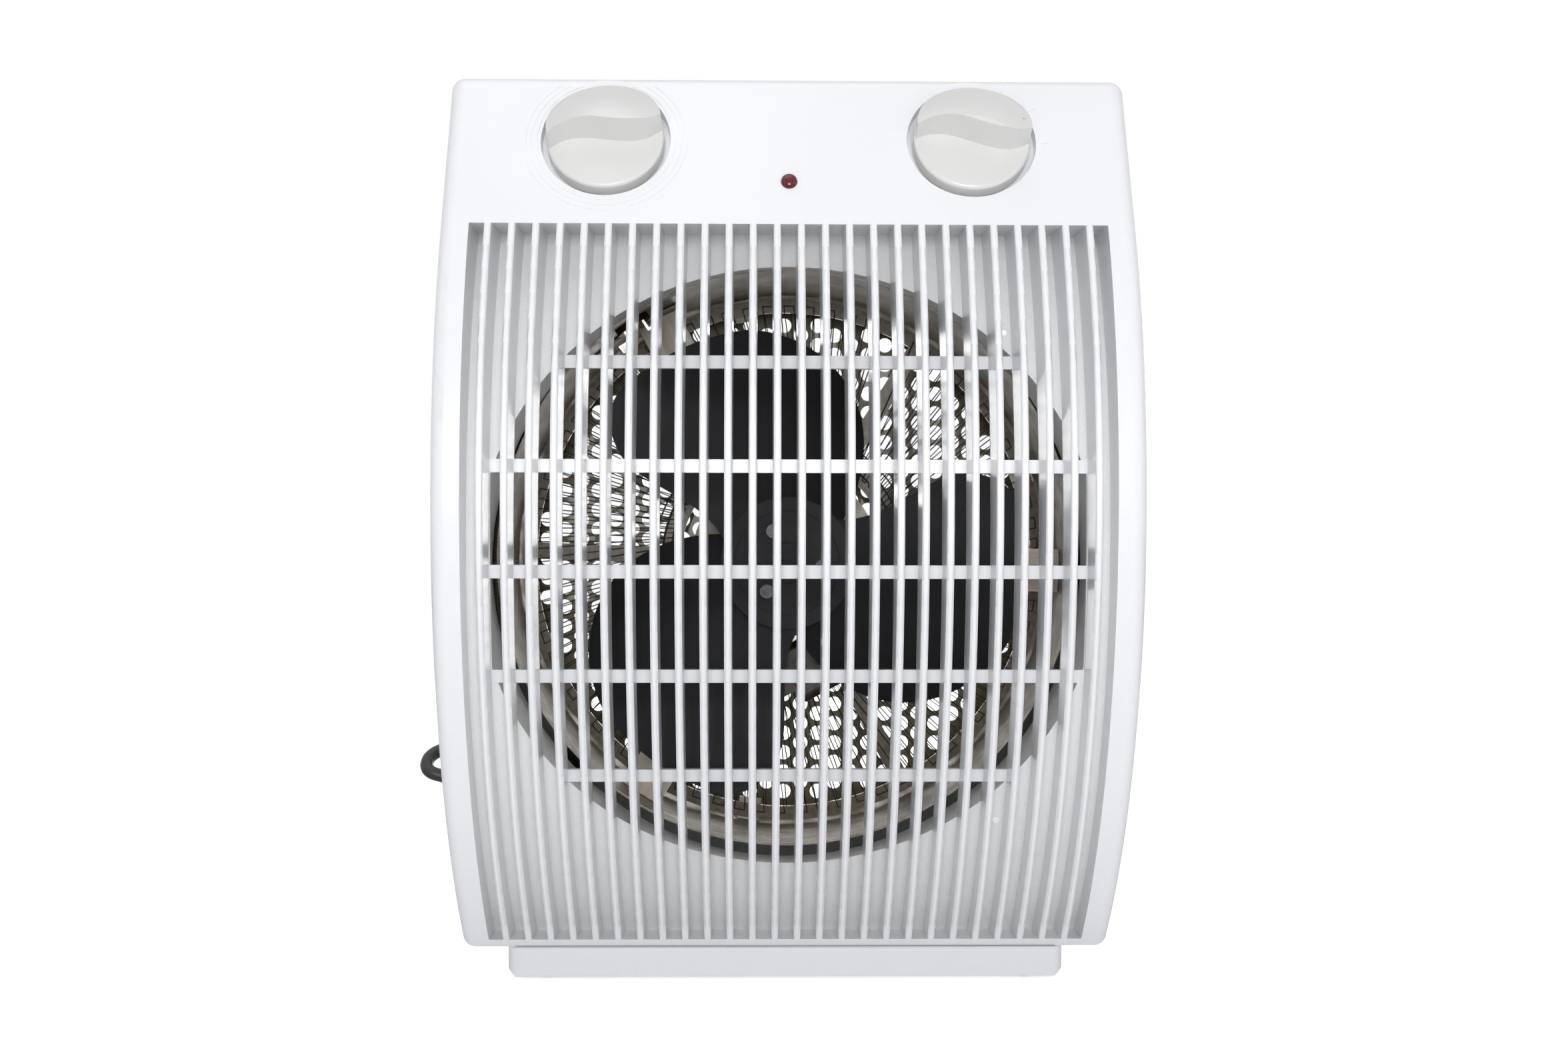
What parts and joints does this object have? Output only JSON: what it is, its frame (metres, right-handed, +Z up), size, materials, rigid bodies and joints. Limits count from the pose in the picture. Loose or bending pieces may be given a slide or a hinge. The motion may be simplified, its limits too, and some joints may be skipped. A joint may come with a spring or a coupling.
{
  "type": "fan convector heater",
  "caption": "Upright electric fan heater: ribbed curved front grille over a drum duct with fan and wire heater, two knobs on a leaning top panel, perforated rear inlet, mains lead.",
  "frame": {"origin": "middle of the casing in X and Y, on the surface that the feet stand on", "axes": "+Z up, front grille faces -Y, +X to the right seen from the front"},
  "size_m": [0.2688, 0.1994, 0.3008],
  "materials": {
    "casing_plastic": "moulded white plastic, softly glossy",
    "plinth_plastic": "moulded light grey-white plastic",
    "zinc_screws": "zinc-plated steel",
    "guard_enamel": "dark olive-brown enamel on perforated steel sheet",
    "galvanised_sheet": "galvanised sheet with fine scratches",
    "fan_plastic": "satin black heat-proof plastic",
    "flange_metal": "turned aluminium",
    "ground_steel": "ground steel",
    "lamination_steel": "stacked, varnished steel laminations",
    "winding_tape": "yellow polyester tape over the winding",
    "sintered_bronze": "oil-filled sintered bronze",
    "mica": "grey-brown mica board",
    "resistance_wire": "oxidised resistance wire",
    "phenolic": "dark brown-black phenolic moulding",
    "tinned_brass": "tinned brass",
    "knob_plastic": "warm white moulded plastic, semi-gloss",
    "lens_plastic": "dark red transparent plastic",
    "lamp_glass": "small neon lamp in its holder",
    "foot_rubber": "black rubber",
    "terminal_nylon": "natural nylon",
    "lead_insulation": "glass-braid sleeved leads",
    "cord_sheath": "black rubber-like sheath, slightly dusty",
    "tie_plastic": "black plastic strap",
    "plug_plastic": "moulded black plug body",
    "nickel_pins": "nickel-plated brass"
  },
  "bodies": {
    "housing": {"front_housing": "casing_plastic", "rear_housing": "casing_plastic", "plinth": "plinth_plastic", "casing_screws": "zinc_screws", "guard_screws": "zinc_screws", "drum_screws": "zinc_screws", "bracket_screws": "zinc_screws", "spider_screws": "zinc_screws", "motor_bolts": "zinc_screws", "plinth_screws": "zinc_screws", "control_nuts": "zinc_screws", "inlet_guard": "guard_enamel", "duct_drum": "galvanised_sheet", "drum_brackets": "galvanised_sheet", "motor_end_bracket": "galvanised_sheet", "motor_spider": "galvanised_sheet", "heater_clips": "galvanised_sheet", "motor_stator": "lamination_steel", "motor_coil": "winding_tape", "motor_bearings": "sintered_bronze", "heater_mica_frame": "mica", "cutout_plate": "mica", "heater_wire": "resistance_wire", "thermal_cutout": "phenolic", "thermostat_body": "phenolic", "selector_body": "phenolic", "cutout_terminals": "tinned_brass", "indicator_lens": "lens_plastic", "indicator_lamp": "lamp_glass", "rubber_feet": "foot_rubber", "terminal_block": "terminal_nylon", "internal_leads": "lead_insulation", "strain_relief": "cord_sheath", "supply_cord": "cord_sheath", "plug_lead": "cord_sheath", "cord_coil": "cord_sheath", "cord_tie": "tie_plastic", "plug_body": "plug_plastic", "plug_pins": "nickel_pins"},
    "fan": {"fan_rotor": "fan_plastic", "fan_hub_screws": "zinc_screws", "drive_flange": "flange_metal", "motor_shaft": "ground_steel", "motor_rotor": "lamination_steel"},
    "thermostat": {"thermostat_knob": "knob_plastic", "thermostat_shaft": "ground_steel"},
    "selector": {"selector_knob": "knob_plastic", "selector_shaft": "ground_steel"}
  },
  "joints": [
    {"name": "fan_spin", "type": "hinge", "parent": "housing", "child": "fan", "pos_m": [0, 0, 0.142], "axis": [0, -1, 0], "continuous": true},
    {"name": "thermostat_turn", "type": "hinge", "parent": "housing", "child": "thermostat", "pos_m": [-0.0589, -0.03372, 0.2786], "axis": [0, -0.9266, 0.376], "range_deg": [-195, 75]},
    {"name": "selector_turn", "type": "hinge", "parent": "housing", "child": "selector", "pos_m": [0.0589, -0.03372, 0.2786], "axis": [0, -0.9266, 0.376], "range_deg": [-12, 105]}
  ]
}
